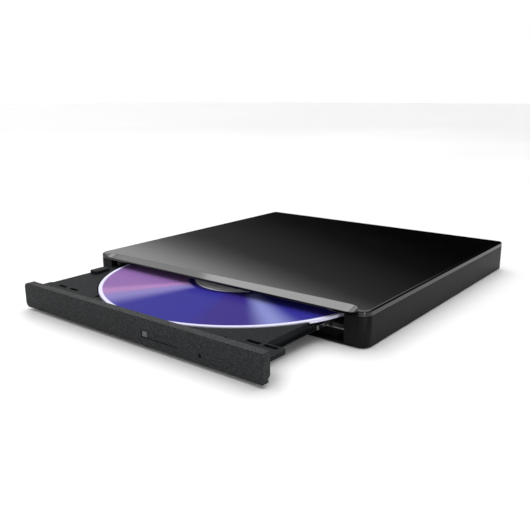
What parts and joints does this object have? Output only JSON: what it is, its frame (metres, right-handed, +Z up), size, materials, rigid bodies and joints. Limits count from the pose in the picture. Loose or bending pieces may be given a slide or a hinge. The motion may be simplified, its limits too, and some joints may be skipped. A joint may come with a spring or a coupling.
{
  "type": "external optical drive",
  "caption": "Slim external optical disc drive with a tray that slides out on rails and carries a clip-on spindle, a disc and a moving laser pickup; it feeds a socket at the back.",
  "frame": {"origin": "middle of the whole object's length and width, tray 45 mm open, on the surface that its feet stand on", "axes": "+X to the right along the front as seen from the front, +Y to the back, +Z up"},
  "size_m": [0.144, 0.1826, 0.014],
  "materials": {
    "gloss_black": "polished",
    "satin_black": "satin",
    "foot_rubber": "matte",
    "screw_steel": "zinc plated",
    "foam": "open-cell foam",
    "chassis_steel": "galvanised sheet",
    "ivory_plastic": "moulded acetal",
    "guide_grey": "moulded",
    "connector_black": "moulded",
    "circuit_board": "solder mask over glass-fibre board",
    "chip_black": "moulded resin",
    "plated_shell": "nickel plated",
    "flex_film": "polyester film",
    "rail_steel": "polished",
    "tray_grey": "fine-grained",
    "bezel_grey": "fine-grained",
    "clear_window": "milky",
    "led_resin": "clear resin",
    "frame_steel": "black coated",
    "motor_steel": "satin",
    "die_cast": "die-cast",
    "lens_glass": "polished",
    "copper_wire": "enamelled copper wire",
    "disc_polycarbonate": "recordable disc with an iridescent dye side",
    "spring_wire": "drawn wire"
  },
  "bodies": {
    "case": {"top_cover": "gloss_black", "bottom_cover": "satin_black", "rubber_feet": "foot_rubber", "case_screws": "screw_steel", "foam_pads": "foam", "chassis_base": "chassis_steel", "chassis_cover": "chassis_steel", "chassis_screws": "screw_steel", "left_rail_guide": "guide_grey", "right_rail_guide": "guide_grey", "latch_post": "screw_steel", "sata_receptacle": "connector_black", "sata_plug": "connector_black", "bridge_board": "circuit_board", "bridge_components": "chip_black", "board_screws": "screw_steel", "usb_socket_shell": "plated_shell", "usb_socket_insert": "connector_black", "flex_cable": "flex_film"},
    "rail_left": {"left_rail": "rail_steel"},
    "rail_right": {"right_rail": "rail_steel"},
    "tray_unit": {"tray": "tray_grey", "bezel": "bezel_grey", "led_window": "clear_window", "eject_switch": "screw_steel", "activity_led": "led_resin", "main_board": "circuit_board", "board_chips": "chip_black", "flex_socket": "ivory_plastic", "tray_shield": "chassis_steel", "tray_screws": "screw_steel", "traverse_frame": "frame_steel", "damper_bushes": "foot_rubber", "damper_screws": "screw_steel", "guide_shaft_main": "rail_steel", "guide_shaft_sub": "rail_steel", "sled_motor": "motor_steel", "spindle_base": "frame_steel", "stator_coils": "copper_wire", "latch_spring": "spring_wire", "latch_solenoid": "copper_wire", "eject_spring": "spring_wire"},
    "button": {"eject_button": "bezel_grey"},
    "spindle": {"rotor_cup": "motor_steel", "turntable_hub": "connector_black", "turntable_pad": "foot_rubber", "disc": "disc_polycarbonate"},
    "claw_1": {"hub_claw_1": "ivory_plastic"},
    "claw_2": {"hub_claw_2": "ivory_plastic"},
    "claw_3": {"hub_claw_3": "ivory_plastic"},
    "pickup": {"pickup_body": "die_cast", "pickup_cover": "chassis_steel", "screw_follower": "ivory_plastic"},
    "screw": {"lead_screw": "rail_steel"},
    "lens": {"lens_holder": "connector_black", "objective_lens": "lens_glass"},
    "latch": {"latch_lever": "ivory_plastic"},
    "solenoid_core": {"solenoid_plunger": "motor_steel"},
    "push_out": {"eject_plunger": "ivory_plastic"}
  },
  "joints": [
    {"name": "tray_slide", "type": "slide", "parent": "case", "child": "tray_unit", "axis": [0, -1, 0], "range_m": [-0.045, 0.08], "deforming": ["flex_cable"]},
    {"name": "left_rail_slide", "type": "slide", "parent": "case", "child": "rail_left", "axis": [0, -1, 0], "range_m": [-0.0225, 0.04]},
    {"name": "right_rail_slide", "type": "slide", "parent": "case", "child": "rail_right", "axis": [0, -1, 0], "range_m": [-0.0225, 0.04]},
    {"name": "spindle_spin", "type": "hinge", "parent": "tray_unit", "child": "spindle", "pos_m": [0, -0.02675, 0.006], "axis": [0, 0, 1], "continuous": true},
    {"name": "claw_1_slide", "type": "slide", "parent": "spindle", "child": "claw_1", "axis": [0, -1, 0], "range_m": [0, 0.0007], "stiffness_N_per_m": 300, "springref_m": -0.0002},
    {"name": "claw_2_slide", "type": "slide", "parent": "spindle", "child": "claw_2", "axis": [0.866, 0.5, 0], "range_m": [0, 0.0007], "stiffness_N_per_m": 300, "springref_m": -0.0002},
    {"name": "claw_3_slide", "type": "slide", "parent": "spindle", "child": "claw_3", "axis": [-0.866, 0.5, 0], "range_m": [0, 0.0007], "stiffness_N_per_m": 300, "springref_m": -0.0002},
    {"name": "pickup_slide", "type": "slide", "parent": "tray_unit", "child": "pickup", "axis": [-0.7071, 0.7071, 0], "range_m": [0, 0.0345]},
    {"name": "screw_spin", "type": "hinge", "parent": "tray_unit", "child": "screw", "pos_m": [-0.014, -0.04075, 0.0046], "axis": [-0.7071, 0.7071, 0], "continuous": true},
    {"name": "lens_focus", "type": "slide", "parent": "pickup", "child": "lens", "axis": [0, 0, 1], "range_m": [-0.0004, 0.0004], "stiffness_N_per_m": 60},
    {"name": "button_press", "type": "slide", "parent": "tray_unit", "child": "button", "axis": [0, 1, 0], "range_m": [0, 0.0005], "stiffness_N_per_m": 600, "springref_m": -0.0005},
    {"name": "solenoid_slide", "type": "slide", "parent": "tray_unit", "child": "solenoid_core", "axis": [0, -1, 0], "range_m": [0, 0.0024]},
    {"name": "latch_turn", "type": "hinge", "parent": "tray_unit", "child": "latch", "pos_m": [0.0359, -0.06525, 0.0038], "axis": [0, 0, 1], "range_deg": [0, 15], "deforming": ["latch_spring"]},
    {"name": "push_out_slide", "type": "slide", "parent": "tray_unit", "child": "push_out", "axis": [0, -1, 0], "range_m": [0, 0.003], "stiffness_N_per_m": 150, "springref_m": -0.002, "deforming": ["eject_spring"]}
  ],
  "couplings": [
    {"joint": "left_rail_slide", "follows": "tray_slide", "ratio": 0.5},
    {"joint": "right_rail_slide", "follows": "tray_slide", "ratio": 0.5},
    {"joint": "screw_spin", "follows": "pickup_slide", "rad_per_m": 2094.4},
    {"joint": "latch_turn", "follows": "solenoid_slide", "rad_per_m": 109}
  ]
}
